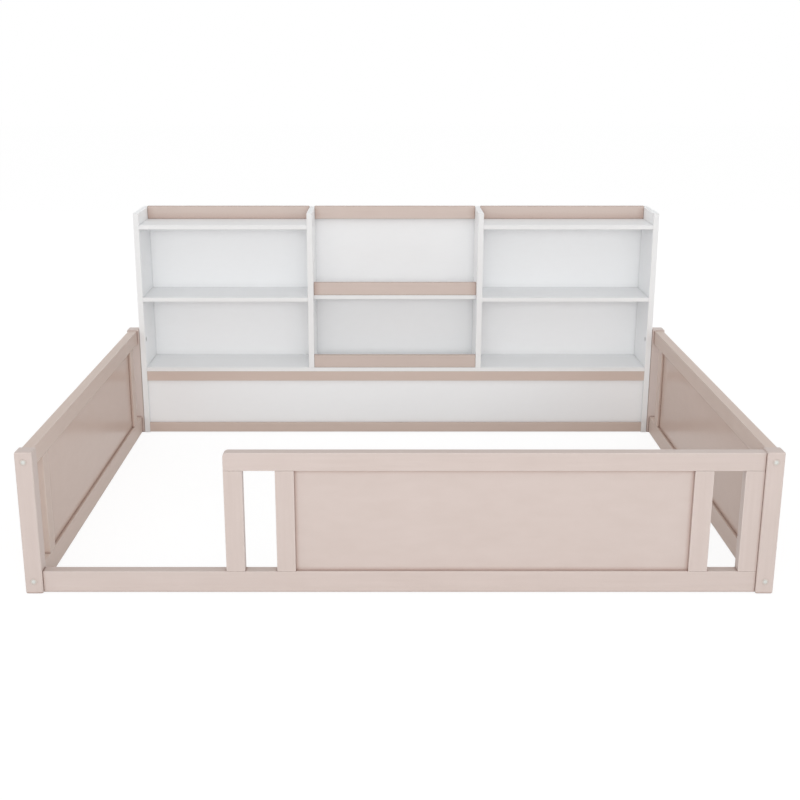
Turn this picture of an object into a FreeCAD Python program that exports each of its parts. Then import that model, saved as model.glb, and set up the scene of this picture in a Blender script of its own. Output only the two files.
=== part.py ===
import FreeCAD, Part
import os
import re

# Open floor bed frame: four posts, a fence with an entry gap, two framed ends and a bookcase.
# X runs along the bed, -Y is the fence side, +Y the bookcase side and Z is up.
# The origin is on the floor below the middle of the whole piece. Sizes are in millimetres.

sizes = {
    # corner posts and the clear space between them
    "post_size": 47,
    "post_height": 401,
    "post_round": 5,
    "bed_length": 1915,
    "bed_depth": 1381,
    # rails of the fence and of the two ends
    "rail_thickness": 31,
    "rail_round": 1.5,
    "floor_gap": 2,
    "bottom_rail_height": 60,
    "top_rail_height": 50,
    "top_rail_drop": 4,
    "end_rail_setback": 6,
    # stiles and panels between the rails
    "stile_width": 50,
    "slot_width": 83,
    "entry_slot_width": 86,
    "entry_gap_width": 494,
    "fence_corner_round": 12,
    "frame_panel_thickness": 13,
    "panel_thickness": 9,
    "panel_tongue": 7.5,
    "tongue_clearance": 0.5,
    "groove_clearance": 0.25,
    "board_round": 1,
    # bookcase
    "bookcase_depth": 220,
    "upright_thickness": 20,
    "shelf_thickness": 15,
    "centre_bay_width": 606,
    "centre_bay_shift": 3,
    "lower_bay_height": 252,
    "upper_bay_height": 253,
    "tray_height": 43,
    "centre_shelf_setback": 48,
    "back_lip": 8,
    "strip_height": 48,
    "strip_thickness": 15,
    "strip_back_gap": 10,
    "retainer_setback": 2,
    "base_rail_height": 36,
    "base_rail_thickness": 25,
    "base_rail_gap": 3,
    "base_panel_height": 166,
    # connector bolts with barrel nuts and cover caps
    "bolt_diameter": 8,
    "bolt_head_diameter": 14,
    "bolt_head_height": 5,
    "bolt_tip": 3,
    "nut_diameter": 10,
    "nut_length": 16,
    "nut_inset": 40,
    "top_bolt_lift": 1.5,
    "bottom_bolt_lift": 3.5,
    "front_bolt_drop": 10,
    "stile_bolt_spacing": 140,
    "cap_overlap": 1.5,
    "cap_height": 2.5,
    "cap_bevel": 2.5,
    "cap_stem": 3,
    # dowels
    "dowel_diameter": 8,
    "dowel_depth": 14,
    "dowel_spacing": 16,
    "dowel_inset": 30,
    "rail_dowel_depth": 11,
    "rail_dowel_offset": 17,
    # wood screws
    "screw_diameter": 5,
    "screw_length": 50,
    "screw_head_diameter": 9,
    "screw_head_height": 3,
    "screw_inset": 60,
    "strip_fixing_spacing": 18,
    "retainer_screw_length": 40,
    "retainer_screw_spacing": 220,
    "back_screw_length": 25,
    "back_screw_spacing": 200,
    # bolts that tie the bookcase to the back posts
    "tie_bolt_head_diameter": 18,
    "tie_bolt_drop": 13,
    "tie_bolt_lower_level": 120,
    "insert_diameter": 12,
    "insert_length": 26,
    "hole_clearance": 0.3,
}

doc = FreeCAD.newDocument("FloorBedFrame")
sheet = doc.addObject("Spreadsheet::Sheet", "Sizes")
for row, (alias, value) in enumerate(sizes.items(), start=1):
    sheet.set(f"A{row}", str(value))
    sheet.setAlias(f"A{row}", alias)
doc.recompute()

turns = {}
for sign, step in (("+", 1), ("-", -1)):
    turns[sign + "x"] = FreeCAD.Rotation(FreeCAD.Vector(0, 0, 1), FreeCAD.Vector(step, 0, 0))
    turns[sign + "y"] = FreeCAD.Rotation(FreeCAD.Vector(0, 0, 1), FreeCAD.Vector(0, step, 0))
    turns[sign + "z"] = FreeCAD.Rotation(FreeCAD.Vector(0, 0, 1), FreeCAD.Vector(0, 0, step))

boards = {}
groups = {}
touch = 0.01


def bind(item, prop, formula):
    # every word in a formula is the alias of a cell
    item.setExpression(prop, re.sub(r"[a-z_]+", lambda word: "Sizes." + word.group(), formula))


def put(item, spot, direction="+z"):
    item.Placement = FreeCAD.Placement(FreeCAD.Vector(), turns[direction])
    for axis, formula in zip("xyz", spot):
        bind(item, "Placement.Base." + axis, formula)


def along(spot, direction, distance):
    moved = list(spot)
    index = "xyz".index(direction[1])
    moved[index] = f"{spot[index]} {direction[0]} ({distance})"
    return moved


def opposite(direction):
    return ("-" if direction[0] == "+" else "+") + direction[1]


def oriented(run, lengthwise, across, up):
    return (lengthwise, across, up) if run == "x" else (across, lengthwise, up)


class Board:
    # a rectangular board with rounded edges, holes and grooves, placed by its lowest corner
    def __init__(self, name, corner, size, rounding):
        self.corner = corner
        self.body = doc.addObject("PartDesign::Body", name)
        self.body.Label = name
        put(self.body, corner)
        self.block = self.body.newObject("PartDesign::AdditiveBox", name + "_block")
        for prop, formula in zip(("Length", "Width", "Height"), size):
            bind(self.block, prop, formula)
        self.soften(rounding)
        boards[name] = self

    def soften(self, rounding):
        self.fillet(self.block, ["Edge1"], rounding).UseAllEdges = True

    def fillet(self, base, edges, rounding):
        feature = self.body.newObject("PartDesign::Fillet", self.body.Name + "_fillet")
        feature.Base = (base, edges)
        bind(feature, "Radius", rounding)
        return feature

    def local(self, spot):
        return [f"{formula} - ({start})" for formula, start in zip(spot, self.corner)]

    def drill(self, spot, direction, diameter, depth):
        hole = self.body.newObject("PartDesign::SubtractiveCylinder", self.body.Name + "_hole")
        bind(hole, "Radius", f"({diameter}) / 2")
        bind(hole, "Height", depth)
        put(hole, self.local(spot), direction)

    def groove(self, corner, size):
        cut = self.body.newObject("PartDesign::SubtractiveBox", self.body.Name + "_groove")
        for prop, formula in zip(("Length", "Width", "Height"), size):
            bind(cut, prop, formula)
        put(cut, self.local(corner))


class FenceRail(Board):
    # the upper corner at the free end is round, and the outline of both faces is softened
    def soften(self, rounding):
        doc.recompute()
        box = self.block.Shape.BoundBox
        free_corner = FreeCAD.Vector(box.XMin, box.Center.y, box.ZMax)
        corner = self.fillet(self.block, edges_at(self.block, [free_corner]), "fence_corner_round")
        doc.recompute()
        outline = [edge.CenterOfMass for edge in corner.Shape.Edges
                   if min(edge.CenterOfMass.y - box.YMin, box.YMax - edge.CenterOfMass.y) < touch]
        self.fillet(corner, edges_at(corner, outline), rounding)


def edges_at(feature, middles):
    return [f"Edge{number}" for number, edge in enumerate(feature.Shape.Edges, start=1)
            if any(edge.CenterOfMass.isEqual(middle, touch) for middle in middles)]


def rod(name, spot, direction, diameter, length):
    piece = doc.addObject("Part::Cylinder", name)
    bind(piece, "Radius", f"({diameter}) / 2")
    bind(piece, "Height", length)
    put(piece, spot, direction)
    return piece


def joined(name, pieces):
    whole = doc.addObject("Part::MultiFuse", name)
    whole.Shapes = pieces
    return whole


def add_to_group(group, piece):
    groups.setdefault(group, []).append(piece)


# Fastened joints: each one drills the boards that it holds and adds its fasteners

def bolt_joint(post, rail, mouth, direction, inset, nut_direction, nut_depth):
    # the bolt's head lies below its cap in the post, and its barrel nut crosses the rail
    bore = "bolt_diameter + hole_clearance"
    recess = "cap_stem + bolt_head_height"
    reach = f"{inset} + nut_diameter / 2 + bolt_tip"
    rail_end = along(mouth, direction, "post_size")
    nut_centre = along(rail_end, direction, inset)
    post.drill(mouth, direction, bore, "post_size")
    post.drill(mouth, direction, "bolt_head_diameter + hole_clearance", recess)
    rail.drill(rail_end, direction, bore, f"{reach} + hole_clearance")
    nut_mouth = along(nut_centre, opposite(nut_direction), nut_depth)
    rail.drill(nut_mouth, nut_direction, "nut_diameter + hole_clearance", f"{nut_depth} + nut_length / 2")

    head = rod("bolt_head", along(mouth, direction, "cap_stem"), direction,
               "bolt_head_diameter", "bolt_head_height")
    shank = rod("bolt_shank", along(mouth, direction, recess), direction,
                "bolt_diameter", f"post_size - ({recess}) + {reach}")
    add_to_group("frame_bolts", joined("frame_bolt", [head, shank]))

    nut_start = along(nut_centre, opposite(nut_direction), "nut_length / 2")
    barrel = rod("nut_barrel", nut_start, nut_direction, "nut_diameter", "nut_length")
    thread = rod("nut_thread", along(nut_centre, opposite(direction), "nut_diameter"), direction,
                 bore, "2 * nut_diameter")
    nut = doc.addObject("Part::Cut", "barrel_nut")
    nut.Base = barrel
    nut.Tool = thread
    add_to_group("barrel_nuts", nut)

    stem = rod("cap_stem_rod", mouth, direction, "bolt_head_diameter", "cap_stem")
    crown = doc.addObject("Part::Cone", "cap_crown")
    bind(crown, "Radius1", "bolt_head_diameter / 2 + cap_overlap")
    bind(crown, "Radius2", "bolt_head_diameter / 2 + cap_overlap - cap_bevel")
    bind(crown, "Height", "cap_height")
    put(crown, mouth, opposite(direction))
    add_to_group("cover_caps", joined("cover_cap", [stem, crown]))


def dowel_joint(first, second, spot, direction, depth, group):
    # half of the dowel is in each board, with a little room past its ends
    hole_depth = f"{depth} + tongue_clearance"
    first.drill(spot, opposite(direction), "dowel_diameter + hole_clearance", hole_depth)
    second.drill(spot, direction, "dowel_diameter + hole_clearance", hole_depth)
    start = along(spot, opposite(direction), depth)
    add_to_group(group, rod("dowel", start, direction, "dowel_diameter", f"2 * {depth}"))


def through_dowel(left, divider, right, spot):
    # one dowel through a divider carries the boards on both of its sides
    hole = "dowel_diameter + hole_clearance"
    far_side = along(spot, "+x", "upright_thickness")
    left.drill(spot, "-x", hole, "dowel_depth + tongue_clearance")
    divider.drill(spot, "+x", hole, "upright_thickness")
    right.drill(far_side, "+x", hole, "dowel_depth + tongue_clearance")
    start = along(spot, "-x", "dowel_depth")
    length = "2 * dowel_depth + upright_thickness"
    add_to_group("shelf_dowels", rod("dowel", start, "+x", "dowel_diameter", length))


def screw_joint(outer, inner, mouth, direction, grip, length, group):
    # the screw's head is flush with the outer board's face
    bore = "screw_diameter + hole_clearance"
    outer.drill(mouth, direction, bore, grip)
    outer.drill(mouth, direction, "screw_head_diameter + hole_clearance", "screw_head_height")
    inner.drill(along(mouth, direction, grip), direction, bore, f"{length} - ({grip}) + hole_clearance")
    head = rod("screw_head", mouth, direction, "screw_head_diameter", "screw_head_height")
    shank = rod("screw_shank", along(mouth, direction, "screw_head_height"), direction,
                "screw_diameter", f"{length} - screw_head_height")
    add_to_group(group, joined("screw", [head, shank]))


# Lines and levels that the boards share

front_face = "-(post_size + bed_depth + bookcase_depth - cap_height) / 2"
rail_start = f"{front_face} + post_size"
back_face = f"{rail_start} + bed_depth"
left_face = "-(bed_length / 2 + post_size)"
inner_left = "-(bed_length / 2)"
inner_right = "bed_length / 2"

stile_foot = "floor_gap + bottom_rail_height"
stile_height = "(post_height - top_rail_drop - top_rail_height - floor_gap - bottom_rail_height)"
top_rail_foot = "post_height - top_rail_drop - top_rail_height"
groove_depth = "panel_tongue + tongue_clearance"
groove_width = "panel_thickness + 2 * groove_clearance"
frame_groove_width = "frame_panel_thickness + 2 * groove_clearance"
panel_inset = "(rail_thickness - frame_panel_thickness) / 2"

# Corner posts

for end, post_x in (("left", left_face), ("right", inner_right)):
    for row, post_y in (("front", front_face), ("back", back_face)):
        Board(f"{row}_post_{end}", (post_x, post_y, "0"),
              ("post_size", "post_size", "post_height"), "post_round")


# Stiles and panels, lengthwise along the fence or along an end

def stile(name, run, start, across, lower, upper):
    corner = oriented(run, start, across, stile_foot)
    board = Board(name, corner, oriented(run, "stile_width", "rail_thickness", stile_height), "board_round")
    for side in ("-", "+"):
        place = f"{start} + stile_width / 2 {side} dowel_spacing / 2"
        middle = f"{across} + rail_thickness / 2"
        foot = oriented(run, place, middle, stile_foot)
        head = oriented(run, place, middle, top_rail_foot)
        dowel_joint(board, lower, foot, "-z", "dowel_depth", "stile_dowels")
        dowel_joint(board, upper, head, "+z", "dowel_depth", "stile_dowels")
    return board


def framed_panel(name, run, start, length, across, lower, upper, before, after):
    # the panel's tongue runs all round in grooves of the rails and stiles
    corner = oriented(run, f"{start} - panel_tongue", f"{across} + {panel_inset}",
                      f"{stile_foot} - panel_tongue")
    size = oriented(run, f"{length} + 2 * panel_tongue", "frame_panel_thickness",
                    f"{stile_height} + 2 * panel_tongue")
    Board(name, corner, size, "board_round")
    groove_side = f"{across} + {panel_inset} - groove_clearance"
    rail_groove = oriented(run, f"{length} + 2 * ({groove_depth})", frame_groove_width, groove_depth)
    groove_start = f"{start} - ({groove_depth})"
    lower.groove(oriented(run, groove_start, groove_side, f"{stile_foot} - ({groove_depth})"), rail_groove)
    upper.groove(oriented(run, groove_start, groove_side, top_rail_foot), rail_groove)
    stile_groove = oriented(run, groove_depth, frame_groove_width, stile_height)
    before.groove(oriented(run, groove_start, groove_side, stile_foot), stile_groove)
    after.groove(oriented(run, f"{start} + {length}", groove_side, stile_foot), stile_groove)


# The two ends: a rail at the top and bottom, two stiles and a panel, with a slot beside each post

end_rail_x = {
    "left": f"{left_face} + end_rail_setback",
    "right": f"{inner_right} + post_size - end_rail_setback - rail_thickness",
}
post_middle_x = {"left": f"{left_face} + post_size / 2", "right": f"{inner_right} + post_size / 2"}
bottom_bolt_rise = "bottom_rail_height / 2 + bottom_bolt_lift"
bottom_bolt_level = f"floor_gap + {bottom_bolt_rise}"
top_bolt_rise = "top_rail_height / 2 + top_bolt_lift"
top_bolt_level = f"{top_rail_foot} + {top_bolt_rise}"

for end, rail_x in end_rail_x.items():
    lower = Board(f"{end}_end_bottom_rail", (rail_x, rail_start, "floor_gap"),
                  ("rail_thickness", "bed_depth", "bottom_rail_height"), "rail_round")
    upper = Board(f"{end}_end_top_rail", (rail_x, rail_start, top_rail_foot),
                  ("rail_thickness", "bed_depth", "top_rail_height"), "rail_round")
    first_stile = f"{rail_start} + slot_width"
    last_stile = f"{back_face} - slot_width - stile_width"
    before = stile(f"{end}_end_front_stile", "y", first_stile, rail_x, lower, upper)
    after = stile(f"{end}_end_back_stile", "y", last_stile, rail_x, lower, upper)
    framed_panel(f"{end}_end_panel", "y", f"{first_stile} + stile_width",
                 "(bed_depth - 2 * slot_width - 2 * stile_width)", rail_x, lower, upper, before, after)
    for rail, bolt_rise, bolt_level in ((lower, bottom_bolt_rise, bottom_bolt_level),
                                        (upper, top_bolt_rise, top_bolt_level)):
        dowel_level = f"{bolt_level} - rail_dowel_offset"
        front_mouth = (post_middle_x[end], front_face, bolt_level)
        back_mouth = (post_middle_x[end], f"{back_face} + post_size", bolt_level)
        front_post = boards[f"front_post_{end}"]
        back_post = boards[f"back_post_{end}"]
        bolt_joint(front_post, rail, front_mouth, "+y", "nut_inset", "+z", bolt_rise)
        bolt_joint(back_post, rail, back_mouth, "-y", "nut_inset", "+z", bolt_rise)
        rail_middle = f"{rail_x} + rail_thickness / 2"
        front_end = (rail_middle, rail_start, dowel_level)
        back_end = (rail_middle, back_face, dowel_level)
        dowel_joint(front_post, rail, front_end, "+y", "rail_dowel_depth", "rail_dowels")
        dowel_joint(back_post, rail, back_end, "-y", "rail_dowel_depth", "rail_dowels")

# The front: a full-length lower rail, and a fence that starts at the right post and leaves the entry gap

front_rail_y = f"{front_face} + (post_size - rail_thickness) / 2"
front_middle = f"{front_face} + post_size / 2"
fence_length = "(bed_length - entry_gap_width)"
fence_start = f"{inner_right} - {fence_length}"
right_face = f"{inner_right} + post_size"
left_front = boards["front_post_left"]
right_front = boards["front_post_right"]

lower_rail = Board("front_lower_rail", (inner_left, front_rail_y, "floor_gap"),
                   ("bed_length", "rail_thickness", "bottom_rail_height"), "rail_round")
top_rail = FenceRail("fence_top_rail", (fence_start, front_rail_y, top_rail_foot),
                     (fence_length, "rail_thickness", "top_rail_height"), "rail_round")

stile_starts = [
    fence_start,
    f"{fence_start} + stile_width + entry_slot_width",
    f"{inner_right} - 2 * stile_width - slot_width",
    f"{inner_right} - stile_width",
]
stiles = []
for number, start in enumerate(stile_starts, start=1):
    stiles.append(stile(f"fence_stile_{number}", "x", start, front_rail_y, lower_rail, top_rail))
framed_panel("fence_panel", "x", f"{stile_starts[1]} + stile_width",
             f"({fence_length} - 4 * stile_width - slot_width - entry_slot_width)", front_rail_y,
             lower_rail, top_rail, stiles[1], stiles[2])

lower_bolt_rise = "bottom_rail_height / 2 - front_bolt_drop"
lower_bolt_level = f"floor_gap + {lower_bolt_rise}"
lower_dowel_level = f"{lower_bolt_level} + rail_dowel_offset"
for post, outside, inside, direction in ((left_front, left_face, inner_left, "+x"),
                                         (right_front, right_face, inner_right, "-x")):
    bolt_joint(post, lower_rail, (outside, front_middle, lower_bolt_level), direction,
               "nut_inset", "+z", lower_bolt_rise)
    dowel_joint(post, lower_rail, (inside, front_middle, lower_dowel_level), direction,
                "rail_dowel_depth", "rail_dowels")
dowel_joint(right_front, top_rail, (inner_right, front_middle, f"{top_rail_foot} + top_rail_height / 2"),
            "-x", "rail_dowel_depth", "rail_dowels")
for side in ("-", "+"):
    level = f"{stile_foot} + {stile_height} / 2 {side} stile_bolt_spacing / 2"
    bolt_joint(right_front, stiles[3], (right_face, front_middle, level), "-x",
               "stile_width / 2", "-y", "rail_thickness / 2")

# The bookcase stands between the back posts, flush with their inner faces

bottom_shelf_level = "(base_rail_gap + 2 * base_rail_height + base_panel_height + shelf_thickness)"
middle_shelf_level = f"({bottom_shelf_level} + lower_bay_height + shelf_thickness)"
top_shelf_level = f"({middle_shelf_level} + upper_bay_height + shelf_thickness)"
bookcase_height = f"({top_shelf_level} + tray_height)"
inner_depth = "(bookcase_depth - back_lip - panel_thickness)"
side_bay_width = "((bed_length - centre_bay_width) / 2 - 2 * upright_thickness)"
case_start = f"{inner_left} + upright_thickness"
case_width = "(bed_length - 2 * upright_thickness)"
side_x = {"left": inner_left, "right": f"{inner_right} - upright_thickness"}
centre_start = "-(centre_bay_width / 2 + centre_bay_shift)"
centre_end = "centre_bay_width / 2 - centre_bay_shift"
divider_x = {"left": f"{centre_start} - upright_thickness", "right": centre_end}
bays = {
    "left": (case_start, f"({side_bay_width} - centre_bay_shift)"),
    "centre": (centre_start, "centre_bay_width"),
    "right": (f"{centre_end} + upright_thickness", f"({side_bay_width} + centre_bay_shift)"),
}
strip_setback = f"({inner_depth} - strip_back_gap - strip_thickness)"

for end in ("left", "right"):
    Board(f"bookcase_side_{end}", (side_x[end], back_face, "0"),
          ("upright_thickness", "bookcase_depth", bookcase_height), "board_round")
    Board(f"divider_{end}", (divider_x[end], back_face, bottom_shelf_level),
          ("upright_thickness", inner_depth, f"{bookcase_height} - {bottom_shelf_level}"), "board_round")

bottom_shelf = Board("bottom_shelf", (case_start, back_face, f"{bottom_shelf_level} - shelf_thickness"),
                     (case_width, inner_depth, "shelf_thickness"), "board_round")


def shelf(name, bay, setback, level):
    start, width = bays[bay]
    return Board(name, (start, f"{back_face} + {setback}", f"{level} - shelf_thickness"),
                 (width, f"{inner_depth} - {setback}", "shelf_thickness"), "board_round")


def strip(name, bay, setback, level):
    start, width = bays[bay]
    return Board(name, (start, f"{back_face} + {setback}", level),
                 (width, "strip_thickness", "strip_height"), "board_round")


for bay in bays:
    middle_setback = "centre_shelf_setback" if bay == "centre" else "0"
    shelf(f"middle_shelf_{bay}", bay, middle_setback, middle_shelf_level)
    if bay != "centre":
        shelf(f"top_shelf_{bay}", bay, "0", top_shelf_level)
    strip(f"top_strip_{bay}", bay, strip_setback, top_shelf_level)

middle_retainer_setback = "centre_shelf_setback + retainer_setback"
middle_retainer = strip("middle_retainer", "centre", middle_retainer_setback, middle_shelf_level)
lower_retainer = strip("lower_retainer", "centre", "retainer_setback", bottom_shelf_level)

# The back panel slides down in grooves of the two sides, behind the dividers and shelves

back_panel_y = f"{back_face} + {inner_depth}"
back_panel_foot = f"{bottom_shelf_level} - shelf_thickness"
back_panel_height = f"{bookcase_height} - ({back_panel_foot})"
back_panel = Board("back_panel", (f"{case_start} - panel_tongue", back_panel_y, back_panel_foot),
                   (f"{case_width} + 2 * panel_tongue", "panel_thickness", back_panel_height), "board_round")
for end, groove_x in (("left", f"{case_start} - ({groove_depth})"), ("right", side_x["right"])):
    boards[f"bookcase_side_{end}"].groove(
        (groove_x, f"{back_panel_y} - groove_clearance", back_panel_foot),
        (groove_depth, groove_width, back_panel_height))

# The base below the bottom shelf: two rails with a panel between them

base_panel_foot = "base_rail_gap + base_rail_height"
upper_base_foot = f"{base_panel_foot} + base_panel_height"
base_panel_y = f"{back_face} + (base_rail_thickness - panel_thickness) / 2"
base_rail_size = (case_width, "base_rail_thickness", "base_rail_height")
upper_base_rail = Board("upper_base_rail", (case_start, back_face, upper_base_foot),
                        base_rail_size, "board_round")
lower_base_rail = Board("lower_base_rail", (case_start, back_face, "base_rail_gap"),
                        base_rail_size, "board_round")
Board("base_panel", (case_start, base_panel_y, f"{base_panel_foot} - panel_tongue"),
      (case_width, "panel_thickness", "base_panel_height + 2 * panel_tongue"), "board_round")
base_groove = (case_width, groove_width, groove_depth)
base_groove_y = f"{base_panel_y} - groove_clearance"
lower_base_rail.groove((case_start, base_groove_y, f"{base_panel_foot} - ({groove_depth})"), base_groove)
upper_base_rail.groove((case_start, base_groove_y, upper_base_foot), base_groove)

# Fastenings of the bookcase

shelf_screw_depths = ("screw_inset", f"{inner_depth} - screw_inset")
strip_middle = f"{back_face} + {strip_setback} + strip_thickness / 2"
strip_fixings = [f"{top_shelf_level} + tray_height / 2 {side} strip_fixing_spacing / 2" for side in "-+"]

for end, direction in (("left", "+x"), ("right", "-x")):
    side = boards[f"bookcase_side_{end}"]
    divider = boards[f"divider_{end}"]
    outside = inner_left if end == "left" else inner_right
    centre_side = bays["centre"][0] if end == "left" else divider_x["right"]
    shelf_ends = (
        (bottom_shelf, bottom_shelf_level),
        (boards[f"middle_shelf_{end}"], middle_shelf_level),
        (boards[f"top_shelf_{end}"], top_shelf_level),
    )
    for depth in shelf_screw_depths:
        for board, level in shelf_ends:
            mouth = (outside, f"{back_face} + {depth}", f"{level} - shelf_thickness / 2")
            screw_joint(side, board, mouth, direction, "upright_thickness", "screw_length", "shelf_screws")
        mouth = (centre_side, f"{back_face} + {depth}", f"{top_shelf_level} - shelf_thickness / 2")
        screw_joint(divider, boards[f"top_shelf_{end}"], mouth, opposite(direction),
                    "upright_thickness", "screw_length", "shelf_screws")
        mouth = (f"{divider_x[end]} + upright_thickness / 2", f"{back_face} + {depth}", back_panel_foot)
        screw_joint(bottom_shelf, divider, mouth, "+z", "shelf_thickness", "screw_length", "divider_screws")
    for level in strip_fixings:
        screw_joint(side, boards[f"top_strip_{end}"], (outside, strip_middle, level), direction,
                    "upright_thickness", "screw_length", "strip_screws")
    for rail, foot in ((upper_base_rail, upper_base_foot), (lower_base_rail, "base_rail_gap")):
        mouth = (outside, f"{back_face} + base_rail_thickness / 2", f"{foot} + base_rail_height / 2")
        screw_joint(side, rail, mouth, direction, "upright_thickness", "screw_length", "base_screws")
    for level in ("- back_screw_spacing", "", "+ back_screw_spacing"):
        mouth = (f"{divider_x[end]} + upright_thickness / 2", f"{back_panel_y} + panel_thickness",
                 f"{middle_shelf_level} {level}")
        screw_joint(back_panel, divider, mouth, "-y", "panel_thickness", "back_screw_length", "back_screws")

    # dowels through the divider carry the middle shelves and the top strips on both sides of it
    before, after = ("left", "centre") if end == "left" else ("centre", "right")
    for depth in ("centre_shelf_setback + dowel_inset", f"{inner_depth} - dowel_inset"):
        spot = (divider_x[end], f"{back_face} + {depth}", f"{middle_shelf_level} - shelf_thickness / 2")
        through_dowel(boards[f"middle_shelf_{before}"], divider, boards[f"middle_shelf_{after}"], spot)
    for level in strip_fixings:
        spot = (divider_x[end], strip_middle, level)
        through_dowel(boards[f"top_strip_{before}"], divider, boards[f"top_strip_{after}"], spot)

    # two bolts tie the side to the back post, in threaded inserts
    bore = "bolt_diameter + hole_clearance"
    post = boards[f"back_post_{end}"]
    inwards = opposite(direction)
    tie_y = f"{back_face} + post_size / 2"
    for level in (f"{top_bolt_level} - tie_bolt_drop", "tie_bolt_lower_level"):
        mouth = along((outside, tie_y, level), direction, "upright_thickness")
        post_mouth = (outside, tie_y, level)
        side.drill(mouth, inwards, bore, "upright_thickness")
        side.drill(mouth, inwards, "tie_bolt_head_diameter + hole_clearance", "bolt_head_height")
        post.drill(post_mouth, inwards, "insert_diameter + hole_clearance", "insert_length")
        head = rod("tie_bolt_head", mouth, inwards, "tie_bolt_head_diameter", "bolt_head_height")
        shank = rod("tie_bolt_shank", along(mouth, inwards, "bolt_head_height"), inwards,
                    "bolt_diameter", "upright_thickness - bolt_head_height + insert_length - bolt_tip")
        add_to_group("tie_bolts", joined("tie_bolt", [head, shank]))
        insert = doc.addObject("Part::Cut", "threaded_insert")
        insert.Base = rod("insert_sleeve", post_mouth, inwards, "insert_diameter", "insert_length")
        insert.Tool = rod("insert_thread", post_mouth, inwards, bore, "insert_length")
        add_to_group("threaded_inserts", insert)

for board, setback, shelf_board, level in (
        (middle_retainer, middle_retainer_setback, boards["middle_shelf_centre"], middle_shelf_level),
        (lower_retainer, "retainer_setback", bottom_shelf, bottom_shelf_level)):
    for place in ("-(centre_bay_shift + retainer_screw_spacing)", "-(centre_bay_shift)",
                  "retainer_screw_spacing - centre_bay_shift"):
        mouth = (place, f"{back_face} + {setback} + strip_thickness / 2", f"{level} - shelf_thickness")
        screw_joint(shelf_board, board, mouth, "+z", "shelf_thickness",
                    "retainer_screw_length", "retainer_screws")

# Nodes: one for each board and one for each kind of fastener

nodes = [board.body for board in boards.values()]
for name, pieces in groups.items():
    group = doc.addObject("Part::Compound", name)
    group.Label = name
    group.Links = pieces
    nodes.append(group)
doc.recompute()

for item in doc.Objects:
    if "Invalid" in item.State or "Error" in item.State:
        raise RuntimeError(f"{item.Label} was not made: {item.State}")
for node in nodes:
    if node.Shape.isNull() or not node.Shape.isValid():
        raise RuntimeError(f"{node.Label} has no valid shape")

os.makedirs("parts", exist_ok=True)
for node in nodes:
    node.Shape.exportStep(f"parts/{node.Label}.step")
print(f"{len(nodes)} nodes, {sum(len(node.Shape.Solids) for node in nodes)} solids")
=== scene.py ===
import math
import bmesh
import bpy
from mathutils import Matrix, Vector


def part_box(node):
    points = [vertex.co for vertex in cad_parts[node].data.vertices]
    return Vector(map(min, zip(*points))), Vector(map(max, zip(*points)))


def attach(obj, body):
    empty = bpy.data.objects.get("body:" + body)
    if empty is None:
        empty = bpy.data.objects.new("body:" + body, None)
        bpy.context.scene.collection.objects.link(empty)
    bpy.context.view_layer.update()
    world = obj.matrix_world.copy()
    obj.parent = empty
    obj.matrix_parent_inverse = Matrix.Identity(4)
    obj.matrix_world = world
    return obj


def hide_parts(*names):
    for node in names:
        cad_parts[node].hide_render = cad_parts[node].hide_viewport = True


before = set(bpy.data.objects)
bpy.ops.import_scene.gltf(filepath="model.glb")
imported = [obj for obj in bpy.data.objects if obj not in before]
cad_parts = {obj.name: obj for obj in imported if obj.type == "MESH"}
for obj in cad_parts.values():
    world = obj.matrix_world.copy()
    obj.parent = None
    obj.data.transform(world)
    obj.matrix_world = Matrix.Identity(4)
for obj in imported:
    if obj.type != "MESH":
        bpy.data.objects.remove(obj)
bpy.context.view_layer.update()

# Floor bed frame with a bookcase: blush painted frame, white boards, domed cover caps
print("frame loaded:", len(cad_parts), "nodes")


def tone(red, green, blue):
    # a screen colour, 0 to 255, as the linear colour that a socket takes
    parts = [part / 255 for part in (red, green, blue)]
    return tuple(p / 12.92 if p <= 0.04045 else ((p + 0.055) / 1.055) ** 2.4 for p in parts) + (1,)


class Wire:
    # a socket, with sums written as Python sums
    def __init__(self, tree, socket=None):
        self.tree = tree
        self.socket = socket

    def add(self, kind, settings=None, inputs=None, output=0):
        node = self.tree.nodes.new(kind)
        for name, value in (settings or {}).items():
            setattr(node, name, value)
        for name, value in (inputs or {}).items():
            if isinstance(value, Wire):
                self.tree.links.new(value.socket, node.inputs[name])
            else:
                node.inputs[name].default_value = value
        return Wire(self.tree, node.outputs[output])

    def sum(self, operation, *values):
        return self.add("ShaderNodeMath", {"operation": operation}, dict(enumerate(values)))

    def __add__(self, other):
        return self.sum("ADD", self, other)

    def __radd__(self, other):
        return self.sum("ADD", other, self)

    def __sub__(self, other):
        return self.sum("SUBTRACT", self, other)

    def __rsub__(self, other):
        return self.sum("SUBTRACT", other, self)

    def __mul__(self, other):
        return self.sum("MULTIPLY", self, other)

    def __rmul__(self, other):
        return self.sum("MULTIPLY", other, self)

    def least(self, other):
        return self.sum("MINIMUM", self, other)

    def most(self, other):
        return self.sum("MAXIMUM", self, other)

    def feed(self, node, name):
        self.tree.links.new(self.socket, node.inputs[name])


def mixColours(factor, first, second):
    return factor.add("ShaderNodeMix", {"data_type": "RGBA"}, {0: factor, 6: first, 7: second}, 2)


noiseMiddle = 0.5  # a noise swings up and down about this value


def noise(place, scale, detail=3, roughness=0.5):
    inputs = {"Vector": place, "Scale": scale, "Detail": detail, "Roughness": roughness}
    return place.add("ShaderNodeTexNoise", None, inputs, "Fac")


def fade(value, start, end, curve="LINEAR"):
    # 1 up to the start, and down to 0 at the end
    inputs = {"Value": value, "From Min": start, "From Max": end, "To Min": 1, "To Max": 0}
    return value.add("ShaderNodeMapRange", {"interpolation_type": curve}, inputs)


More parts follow.
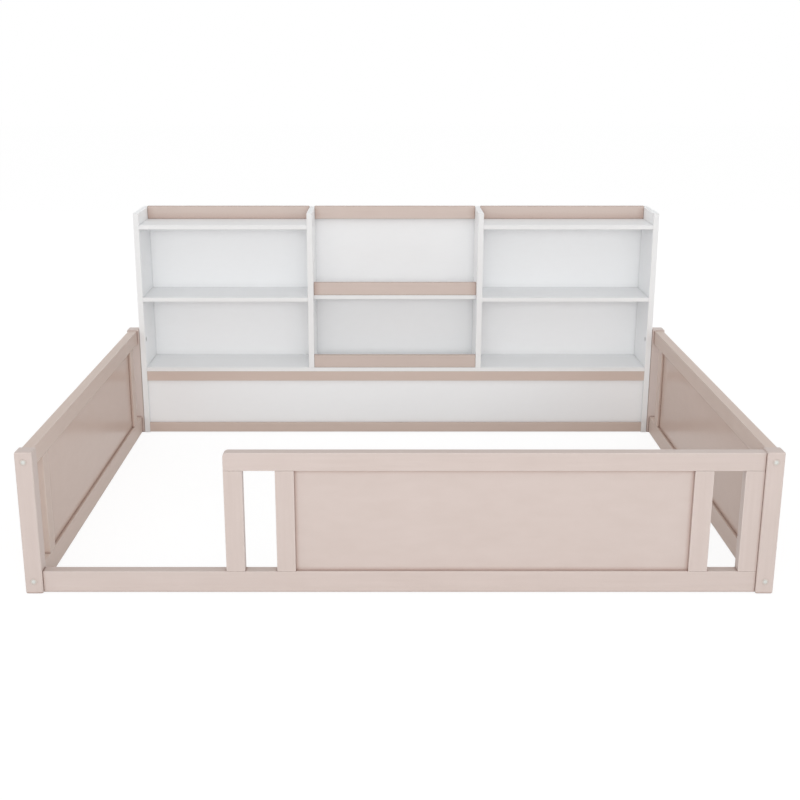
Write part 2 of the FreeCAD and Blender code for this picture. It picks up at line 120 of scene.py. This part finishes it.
def bumpOf(height, strength, distance):
    inputs = {"Strength": strength, "Distance": distance, "Height": height}
    return height.add("ShaderNodeBump", None, inputs)


def newMaterial(name):
    material = bpy.data.materials.new(name)
    material.use_nodes = True
    return material, material.node_tree.nodes["Principled BSDF"], Wire(material.node_tree)


# Camera, as the photograph was taken
cameraView = {
    "place": (-0.0344, -3.7999, 1.4076),
    "tilt": 73.81,
    "lens": 54.39,
    "sensor": 36,
    "shiftX": 0.0168,
}


def makeCamera(view):
    bpy.ops.object.camera_add(location=view["place"], rotation=(math.radians(view["tilt"]), 0, 0))
    camera = bpy.context.object
    camera.name = "photoCamera"
    camera.data.lens = view["lens"]
    camera.data.sensor_width = view["sensor"]
    camera.data.shift_x = view["shiftX"]
    bpy.context.scene.camera = camera


# Studio: even light from all round, soft lamps in front, at the sides and low behind, a white floor
studio = {
    "skyLevel": 0.68,
    "background": (1, 1, 1, 1),
    "aim": (0, -0.1, 0.4),
    "lamps": {
        "frontLamp": {"place": (0, -7.0, 2.2), "width": 9.0, "height": 2.0, "power": 79},
        "eyeLamp": {"place": (0, -5.0, 1.5), "width": 2.5, "height": 1.5, "power": 42},
        "leftLamp": {"place": (-7.0, -2.0, 2.5), "width": 5.0, "height": 4.0, "power": 47},
        "rightLamp": {"place": (7.0, -2.0, 2.5), "width": 5.0, "height": 4.0, "power": 47},
        "backLamp": {"place": (0, 7.0, 1.1), "width": 9.0, "height": 2.0, "power": 55},
    },
    "floorSize": 40,
    "floorColour": (0.85, 0.85, 0.85, 1),
    "floorShadow": 0.2,
    "floorGlow": 0.86,
}


def seenRays(wire):
    # 1 where the camera, a reflection or a clear surface looks, 0 for light that falls on things
    path = wire.add("ShaderNodeLightPath", None, None, "Is Camera Ray")
    glossy = Wire(wire.tree, path.socket.node.outputs["Is Glossy Ray"])
    clear = Wire(wire.tree, path.socket.node.outputs["Is Transmission Ray"])
    return path.most(glossy).most(clear)


def makeStudio(setup):
    scene = bpy.context.scene
    scene.view_settings.view_transform = "Standard"
    world = bpy.data.worlds.new("studioWorld")
    scene.world = world
    world.use_nodes = True
    tree = world.node_tree
    seen = seenRays(Wire(tree))
    strength = seen * (1 - setup["skyLevel"]) + setup["skyLevel"]
    sky = tree.nodes["Background"]
    sky.inputs["Color"].default_value = setup["background"]
    strength.feed(sky, "Strength")

    for name, light in setup["lamps"].items():
        bpy.ops.object.light_add(type="AREA", location=light["place"])
        lamp = bpy.context.object
        lamp.name = name
        lamp.data.shape = "RECTANGLE"
        lamp.data.size = light["width"]
        lamp.data.size_y = light["height"]
        lamp.data.energy = light["power"]
        aim = Vector(setup["aim"]) - Vector(light["place"])
        lamp.rotation_euler = aim.to_track_quat("-Z", "Y").to_euler()

    bpy.ops.mesh.primitive_plane_add(size=setup["floorSize"])
    floor = bpy.context.object
    floor.name = "studioFloor"
    material, shader, wire = newMaterial("floorPaper")
    shader.inputs["Base Color"].default_value = setup["floorColour"]
    shader.inputs["Roughness"].default_value = 1
    shader.inputs["Specular IOR Level"].default_value = 0
    # what the camera sees is a white glow that the object's shadow still dims
    paper = wire.add("ShaderNodeBsdfDiffuse", None, {"Color": (setup["floorShadow"],) * 3 + (1,)})
    glow = wire.add("ShaderNodeEmission", None, {"Strength": setup["floorGlow"]})
    shown = wire.add("ShaderNodeAddShader", None, {0: paper, 1: glow})
    plain = Wire(wire.tree, shader.outputs["BSDF"])
    either = wire.add("ShaderNodeMixShader", None, {0: seenRays(wire), 1: plain, 2: shown})
    either.feed(wire.tree.nodes["Material Output"], "Surface")
    floor.data.materials.append(material)


makeCamera(cameraView)
makeStudio(studio)
print("studio made")

# Finishes of the boards: blush paint on the frame, a smoother paint on its panels, white faced board
blushPaint = {
    "name": "blushPaint",
    "light": tone(214, 200, 194),
    "dark": tone(205, 190, 183),
    # the tone along the edges: partly wear, partly a painted highlight
    "edge": tone(217, 206, 200),
    # painted shade, darker in the corners where boards meet and darkest in the seams
    "corner": {"colour": tone(148, 98, 78), "reach": 0.008, "depth": 0.85},
    "seam": {"colour": tone(96, 66, 54), "reach": 0.004, "depth": 0.6},
    "roughness": 0.42,
    "glossChange": 0.1,
    "specular": 0.1,
    "grainLength": 5,
    "grainWidth": 110,
    "grainDepth": 0.7,
    "stippleScale": 700,
    "stippleDepth": 0.35,
    "bumpStrength": 0.4,
    "edgeWidth": 0.004,
}
panelPaint = {
    "name": "panelPaint",
    "light": tone(213, 199, 193),
    "dark": tone(206, 191, 184),
    "edge": tone(212, 198, 192),
    # painted shade, darker in the corners where boards meet and darkest in the seams
    "corner": {"colour": tone(148, 98, 78), "reach": 0.012, "depth": 0.85},
    "seam": {"colour": tone(96, 66, 54), "reach": 0.004, "depth": 0.3},
    "roughness": 0.22,
    "glossChange": 0.04,
    "specular": 0.08,
    "grainLength": 14,
    "grainWidth": 40,
    "grainDepth": 0.2,
    "stippleScale": 900,
    "stippleDepth": 0.3,
    "bumpStrength": 0.1,
    "edgeWidth": 0.003,
}
whiteBoard = {
    "name": "whiteBoard",
    "light": tone(251, 252, 253),
    "dark": tone(248, 249, 250),
    "edge": tone(251, 252, 253),
    "band": tone(242, 242, 242),
    # painted shade, greyer in the corners where boards meet and in the seams
    "corner": {"colour": tone(176, 178, 180), "reach": 0.025, "depth": 0.2},
    "seam": {"colour": tone(150, 150, 150), "reach": 0.004, "depth": 0.25},
    "roughness": 0.45,
    "glossChange": 0.12,
    "specular": 0.2,
    "grainLength": 25,
    "grainWidth": 90,
    "grainDepth": 0.12,
    "stippleScale": 1300,
    "stippleDepth": 0.5,
    "bumpStrength": 0.22,
    "edgeWidth": 0.0025,
}
# shade on the strips and retainers, which reaches further than on the frame
stripShade = {"colour": tone(148, 98, 78), "reach": 0.03, "depth": 0.5}
# shaded and lit copies of the one paint: the ends and base rails warmer than the fence and the end
# panels darker, as painted shade, and two of the strips paler, as painted light
shadedAndLitCopies = {
    # painted shade: the ends and base rails warmer than the fence
    "ends": {
        "on": ("end_", "base_rail"),
        "light": tone(215, 197, 187),
        "dark": tone(210, 191, 180),
        "edge": tone(219, 204, 195),
    },
    # painted shade: the end panels darker and warmer than the fence panel
    "endPanels": {
        "on": ("end_panel",),
        "light": tone(211, 190, 179),
        "dark": tone(206, 184, 172),
        "edge": tone(211, 190, 179),
    },
    # painted shade: these strips a little darker than the fence
    "strips": {
        "on": ("strip_left", "strip_right", "lower_retainer"),
        "light": tone(213, 197, 189),
        "dark": tone(208, 191, 182),
        # painted shade: these strips and retainers are darker along their edges
        "edge": tone(170, 151, 141),
        "edgeWidth": 0.003,
        "corner": stripShade,
    },
    # painted light: these strips paler than the others
    "paleStrips": {
        "on": ("strip_centre", "middle_retainer"),
        "light": tone(219, 203, 195),
        "dark": tone(214, 197, 188),
        # painted shade: these strips are darker along their edges
        "edge": tone(174, 155, 145),
        "edgeWidth": 0.003,
        "corner": stripShade,
    },
}
# patterns that all the coats share: scales in cells to the metre, and how much of each one shows
coatPattern = {
    "grainDetail": 4,
    "grainRoughness": 0.55,
    "cloudScale": 6,
    "edgeScale": 160,
    "edgeDetail": 3,
    "stippleDetail": 2,
    "fineRoughness": 0.6,
    "cloudShare": 0.7,
    "grainShare": 0.9,
    "edgeShare": 0.6,
    "stippleGloss": 0.6,
    "edgeGloss": 0.06,
    "bandStart": 0.0006,
    "bandEnd": 0.0011,
    "shadeSamples": 2,
    "bumpDistance": 0.001,
}


def edgeDistance(wire, place, low, high):
    # how far a point of a board's face is from the nearest edge of the board
    offset = wire.add("ShaderNodeVectorMath", {"operation": "SUBTRACT"}, {0: place, 1: (low + high) / 2})
    across = wire.add("ShaderNodeVectorMath", {"operation": "ABSOLUTE"}, {0: offset})
    depth = wire.add("ShaderNodeVectorMath", {"operation": "SUBTRACT"}, {0: (high - low) / 2, 1: across})
    x = wire.add("ShaderNodeSeparateXYZ", None, {0: depth}, "X")
    y = Wire(wire.tree, x.socket.node.outputs["Y"])
    z = Wire(wire.tree, x.socket.node.outputs["Z"])
    return x.least(y).most(x.most(y).least(z))


def boardFinish(node, finish, pattern):
    low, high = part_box(node)
    size = high - low
    material, shader, wire = newMaterial(finish["name"] + "_" + node)
    place = wire.add("ShaderNodeTexCoord", None, None, "Object")

    # the grain runs along the board and shows faintly through its coat
    stretch = [finish["grainWidth"]] * 3
    stretch[max(range(3), key=lambda axis: size[axis])] = finish["grainLength"]
    grainPlace = wire.add("ShaderNodeMapping", None, {"Vector": place, "Scale": stretch})
    grain = noise(grainPlace, 1, pattern["grainDetail"], pattern["grainRoughness"])
    cloud = noise(place, pattern["cloudScale"])
    stipple = noise(place, finish["stippleScale"], pattern["stippleDetail"], pattern["fineRoughness"])

    # along the board's edges the coat changes its tone, in an uneven line: partly wear and partly a
    # painted highlight, lighter, and on the strips and retainers a painted shade, darker
    waver = noise(place, pattern["edgeScale"], pattern["edgeDetail"], pattern["fineRoughness"])
    distance = edgeDistance(wire, place, low, high) + (waver - noiseMiddle) * finish["edgeWidth"]
    edge = fade(distance, 0, finish["edgeWidth"], "SMOOTHSTEP")

    cloudy = (cloud - noiseMiddle) * pattern["cloudShare"]
    blend = cloudy + (grain - noiseMiddle) * pattern["grainShare"] + noiseMiddle
    coat = mixColours(blend, finish["dark"], finish["light"])
    coat = mixColours(edge * pattern["edgeShare"], coat, finish["edge"])
    if "band" in finish and size.y > min(size):
        # a strip of edging covers the board's front edge
        front = wire.add("ShaderNodeSeparateXYZ", None, {0: place}, "Y") - low.y
        band = fade(front, pattern["bandStart"], pattern["bandEnd"])
        coat = mixColours(band, coat, finish["band"])
    # painted shade: the coat is darkened in the corners where boards meet, and darkest in the seams
    # themselves, by how closed in each point is
    for shade in (finish["corner"], finish["seam"]):
        samples = {"samples": pattern["shadeSamples"]}
        exposed = wire.add("ShaderNodeAmbientOcclusion", samples, {"Distance": shade["reach"]}, "AO")
        coat = mixColours((1 - exposed) * shade["depth"], coat, shade["colour"])
    coat.feed(shader, "Base Color")
    uneven = (cloud - noiseMiddle) + (stipple - noiseMiddle) * pattern["stippleGloss"]
    gloss = uneven * finish["glossChange"] + finish["roughness"] - edge * pattern["edgeGloss"]
    gloss.feed(shader, "Roughness")
    height = grain * finish["grainDepth"] + stipple * finish["stippleDepth"]
    bumpOf(height, finish["bumpStrength"], pattern["bumpDistance"]).feed(shader, "Normal")
    shader.inputs["Specular IOR Level"].default_value = finish["specular"]
    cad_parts[node].material_slots[0].material = material


whiteWords = ("bookcase_side", "divider_left", "divider_right", "shelf", "back_panel", "base_panel")
hardware = ("screws", "dowels", "bolts", "nuts", "caps", "inserts")
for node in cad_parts:
    if node.endswith(hardware):
        continue
    if any(word in node for word in whiteWords):
        boardFinish(node, whiteBoard, coatPattern)
        continue
    finish = panelPaint if node.endswith("panel") else blushPaint
    for paintedLightCopy in shadedAndLitCopies.values():
        if any(word in node for word in paintedLightCopy["on"]):
            finish = {**finish, **paintedLightCopy}
    boardFinish(node, finish, coatPattern)
print("boards finished")

# Moulded caps, zinc plated steel and beech dowels
# tint and grit are noises: scale, detail and roughness
capDome = {
    "name": "domePlastic",
    "light": tone(217, 218, 214),
    "dark": tone(209, 210, 206),
    "tint": (220, 3, 0.5),
    "grit": (2600, 2, 0.5),
    "metallic": 0,
    "roughness": 0.28,
    "glossChange": 0.14,
    "bumpStrength": 0.12,
    "bumpDistance": 0.0003,
}
capRing = {
    **capDome,
    "name": "ringPlastic",
    "light": tone(210, 201, 194),
    "dark": tone(202, 192, 184),
    "roughness": 0.45,
}
zincSteel = {
    "name": "zincSteel",
    "light": (0.62, 0.62, 0.6, 1),
    "dark": (0.45, 0.45, 0.44, 1),
    "tint": (700, 4, 0.6),
    "grit": (3200, 2, 0.5),
    "metallic": 1,
    "roughness": 0.34,
    "glossChange": 0.2,
    "bumpStrength": 0.1,
    "bumpDistance": 0.0002,
}
beechWood = {
    "name": "beechWood",
    "light": tone(214, 181, 142),
    "dark": tone(184, 144, 104),
    "tint": (420, 5, 0.65),
    "grit": (420, 5, 0.65),
    "metallic": 0,
    "roughness": 0.62,
    "glossChange": 0.2,
    "bumpStrength": 0.2,
    "bumpDistance": 0.0004,
}


def hardwareFinish(look):
    material, shader, wire = newMaterial(look["name"])
    place = wire.add("ShaderNodeTexCoord", None, None, "Object")
    tint = noise(place, *look["tint"])
    grit = noise(place, *look["grit"])
    mixColours(tint, look["dark"], look["light"]).feed(shader, "Base Color")
    shader.inputs["Metallic"].default_value = look["metallic"]
    gloss = look["roughness"] + (grit - noiseMiddle) * look["glossChange"]
    gloss.feed(shader, "Roughness")
    bumpOf(grit, look["bumpStrength"], look["bumpDistance"]).feed(shader, "Normal")
    return material


domePlastic = hardwareFinish(capDome)
ringPlastic = hardwareFinish(capRing)
steel = hardwareFinish(zincSteel)
beech = hardwareFinish(beechWood)
for node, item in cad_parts.items():
    if node.endswith("dowels"):
        item.material_slots[0].material = beech
    elif node.endswith(("screws", "bolts", "nuts", "inserts")):
        item.material_slots[0].material = steel
print("hardware finished")


# Fasteners are modelled once, with the board's face at z = 0 and the outside up
tiny = 1e-6  # points closer than this are at one place
levelLimit = 0.9  # a face is level when the height of its normal is past this
smoothAngle = math.radians(35)
twistStep = 2.4  # radians that each fastener is turned further than the one before


def deselectAll():
    if bpy.context.object and bpy.context.object.mode != "OBJECT":
        bpy.ops.object.mode_set(mode="OBJECT")
    bpy.ops.object.select_all(action="DESELECT")


def addCylinder(name, sides, radius, bottom, top):
    deselectAll()
    bpy.ops.mesh.primitive_cylinder_add(vertices=sides, radius=radius, depth=top - bottom,
                                        location=(0, 0, (top + bottom) / 2))
    piece = bpy.context.object
    piece.name = name
    bpy.ops.object.transform_apply(location=True, rotation=True, scale=True)
    return piece


def pickFaces(piece, wanted):
    # selects the faces whose normals pass the test, in edit mode
    if bpy.context.object.mode != "EDIT":
        bpy.ops.object.mode_set(mode="EDIT")
    bpy.ops.mesh.select_mode(type="FACE")
    bpy.ops.mesh.select_all(action="DESELECT")
    shape = bmesh.from_edit_mesh(piece.data)
    for face in shape.faces:
        if wanted(face.normal):
            face.select_set(True)
    bmesh.update_edit_mesh(piece.data)


def facesUp(normal):
    return normal.z > levelLimit


def facesDown(normal):
    return normal.z < -levelLimit


def extrudeDown(distance):
    bpy.ops.mesh.extrude_region_move(TRANSFORM_OT_translate={"value": (0, 0, -distance)})


def bevelRim(piece, level, width, segments):
    # rounds the ring of edges that lies at one height
    bpy.ops.mesh.select_mode(type="EDGE")
    bpy.ops.mesh.select_all(action="DESELECT")
    shape = bmesh.from_edit_mesh(piece.data)
    radius = max(vert.co.xy.length for vert in shape.verts)
    for rim in shape.edges:
        atLevel = all(abs(vert.co.z - level) < tiny for vert in rim.verts)
        outermost = all(vert.co.xy.length > radius - tiny for vert in rim.verts)
        if atLevel and outermost:
            rim.select_set(True)
    bmesh.update_edit_mesh(piece.data)
    bpy.ops.mesh.bevel(offset=width, offset_type="OFFSET", segments=segments, affect="EDGES")


def smoothOff(piece):
    deselectAll()
    piece.select_set(True)
    bpy.context.view_layer.objects.active = piece
    bpy.ops.object.shade_smooth_by_angle(angle=smoothAngle)


def cutOut(piece, cutter):
    # takes the cutter's shape out of the piece, and removes the cutter
    deselectAll()
    bpy.context.view_layer.objects.active = piece
    piece.select_set(True)
    hollow = piece.modifiers.new("recess", "BOOLEAN")
    hollow.operation = "DIFFERENCE"
    hollow.object = cutter
    bpy.ops.object.modifier_apply(modifier="recess")
    bpy.data.objects.remove(cutter)


# the cap's top from its rim inwards: each step is how far in, then how far up
coverCap = {
    "sides": 48,
    "radius": 0.0085,
    "height": 0.0025,  # of the solid cap that it stands in for
    "rim": 0.0008,
    "rimRound": 0.0003,
    "rimSteps": 2,
    "flange": ((0.0031, 0.0002), (0.0002, -0.0007), (0.0003, 0)),
    "dome": ((0.0001, 0.0008), (0.0010, 0.0006), (0.0012, 0.0004), (0.0013, 0.0002), (0.0010, 0.00005)),
    "domeRadius": 0.0050,
    "stemRadius": 0.007,
    "stemLength": 0.003,
}


def makeCoverCap(cap):
    piece = addCylinder("coverCap", cap["sides"], cap["radius"], 0, cap["rim"])
    pickFaces(piece, facesUp)
    for inset, rise in cap["flange"] + cap["dome"]:
        bpy.ops.mesh.inset(thickness=inset, depth=rise)
    pickFaces(piece, facesDown)
    bpy.ops.mesh.inset(thickness=cap["radius"] - cap["stemRadius"])
    extrudeDown(cap["stemLength"])
    bevelRim(piece, cap["rim"], cap["rimRound"], cap["rimSteps"])
    smoothOff(piece)
    piece.data.materials.append(domePlastic)
    piece.data.materials.append(ringPlastic)
    for face in piece.data.polygons:
        onDome = face.center.xy.length < cap["domeRadius"] and face.center.z > 0
        face.material_index = 0 if onDome else 1
    return piece


woodScrew = {
    "sides": 24,
    "headRadius": 0.0045,
    "headHeight": 0.003,
    "headRound": 0.0004,
    "headSteps": 2,
    "shankRadius": 0.0025,
    "tipLength": 0.005,
    "tipTaper": 0.12,
    "crossWidth": 0.0011,
    "crossArm": 0.0019,
    "crossDepth": 0.0020,
    "crossTaper": 0.55,
}


def makeCross(screw):
    deselectAll()
    bpy.ops.mesh.primitive_cube_add(size=screw["crossWidth"])
    cross = bpy.context.object
    pickFaces(cross, lambda normal: abs(normal.z) < levelLimit)
    bpy.ops.mesh.extrude_faces_move(TRANSFORM_OT_shrink_fatten={"value": screw["crossArm"]})
    bpy.ops.mesh.select_all(action="SELECT")
    bpy.ops.transform.resize(value=(1, 1, 2 * screw["crossDepth"] / screw["crossWidth"]))
    pickFaces(cross, facesDown)
    bpy.ops.transform.resize(value=(screw["crossTaper"], screw["crossTaper"], 1))
    bpy.ops.object.mode_set(mode="OBJECT")
    return cross


def makeWoodScrew(screw, length):
    piece = addCylinder("woodScrew", screw["sides"], screw["headRadius"], -screw["headHeight"], 0)
    pickFaces(piece, facesDown)
    bpy.ops.mesh.inset(thickness=screw["headRadius"] - screw["shankRadius"])
    extrudeDown(length - screw["headHeight"] - screw["tipLength"])
    extrudeDown(screw["tipLength"])
    bpy.ops.transform.resize(value=(screw["tipTaper"], screw["tipTaper"], 1))
    bevelRim(piece, 0, screw["headRound"], screw["headSteps"])
    bpy.ops.object.mode_set(mode="OBJECT")
    cutOut(piece, makeCross(screw))
    smoothOff(piece)
    piece.data.materials.clear()
    piece.data.materials.append(steel)
    return piece


tieBolt = {
    "sides": 40,
    "headRadius": 0.009,
    "headHeight": 0.005,
    "headRound": 0.0008,
    "headSteps": 3,
    "shankRadius": 0.004,
    "socketSides": 6,
    "socketRadius": 0.0029,
    "socketDepth": 0.003,
    "socketMouth": 0.001,
}


def makeTieBolt(bolt, length):
    piece = addCylinder("tieBolt", bolt["sides"], bolt["headRadius"], -bolt["headHeight"], 0)
    pickFaces(piece, facesDown)
    bpy.ops.mesh.inset(thickness=bolt["headRadius"] - bolt["shankRadius"])
    extrudeDown(length - bolt["headHeight"])
    bevelRim(piece, 0, bolt["headRound"], bolt["headSteps"])
    bpy.ops.object.mode_set(mode="OBJECT")
    socket = addCylinder("socket", bolt["socketSides"], bolt["socketRadius"],
                         -bolt["socketDepth"], bolt["socketMouth"])
    cutOut(piece, socket)
    smoothOff(piece)
    piece.data.materials.clear()
    piece.data.materials.append(steel)
    return piece


def solidsOf(node):
    # the vertices of each separate solid in a CAD node
    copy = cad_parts[node].copy()
    copy.data = copy.data.copy()
    bpy.context.collection.objects.link(copy)
    deselectAll()
    copy.select_set(True)
    bpy.context.view_layer.objects.active = copy
    bpy.ops.object.mode_set(mode="EDIT")
    bpy.ops.mesh.select_all(action="SELECT")
    bpy.ops.mesh.remove_doubles(threshold=tiny)
    bpy.ops.mesh.separate(type="LOOSE")
    bpy.ops.object.mode_set(mode="OBJECT")
    solids = []
    for part in list(bpy.context.selected_objects):
        solids.append([vert.co.copy() for vert in part.data.vertices])
        bpy.data.objects.remove(part)
    return solids


def wideEnd(points, axis):
    # the middle of the solid's wider end, and the way out of the board there
    low = Vector(min(point[i] for point in points) for i in range(3))
    high = Vector(max(point[i] for point in points) for i in range(3))
    middle = (low + high) / 2
    reach = {-1: 0, 1: 0}
    for point in points:
        offset = point - middle
        side = 1 if offset[axis] > 0 else -1
        offset[axis] = 0
        reach[side] = max(reach[side], offset.length)
    side = max(reach, key=reach.get)
    out = Vector((0, 0, 0))
    out[axis] = side
    length = high[axis] - low[axis]
    return middle + out * length / 2, out, length


def setFasteners(name, node, make, faceDrop=0, along=max):
    # one copy of the fastener at each solid of the node, all in one piece
    copies = []
    for number, points in enumerate(solidsOf(node)):
        spans = [max(point[i] for point in points) - min(point[i] for point in points) for i in range(3)]
        axis = spans.index(along(spans))
        spot, out, length = wideEnd(points, axis)
        if not copies:
            model = make(length)
        copy = model.copy()
        copy.data = model.data.copy()
        bpy.context.collection.objects.link(copy)
        turn = out.to_track_quat("Z", "Y").to_matrix().to_4x4()
        twist = Matrix.Rotation(number * twistStep, 4, "Z")
        copy.data.transform(Matrix.Translation(spot - out * faceDrop) @ turn @ twist)
        copies.append(copy)
    bpy.data.objects.remove(model)
    deselectAll()
    for copy in copies:
        copy.select_set(True)
    bpy.context.view_layer.objects.active = copies[0]
    bpy.ops.object.join()
    piece = bpy.context.object
    piece.name = name
    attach(piece, "root")
    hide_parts(node)
    print(name, "set:", len(copies))


setFasteners("coverCaps", "cover_caps", lambda length: makeCoverCap(coverCap),
             coverCap["height"], min)
screwNodes = ("shelf_screws", "divider_screws", "strip_screws", "base_screws", "back_screws",
              "retainer_screws")
for node in screwNodes:
    first, second = node.split("_")
    name = first + second.title()
    setFasteners(name, node, lambda length: makeWoodScrew(woodScrew, length))
setFasteners("tieBolts", "tie_bolts", lambda length: makeTieBolt(tieBolt, length))
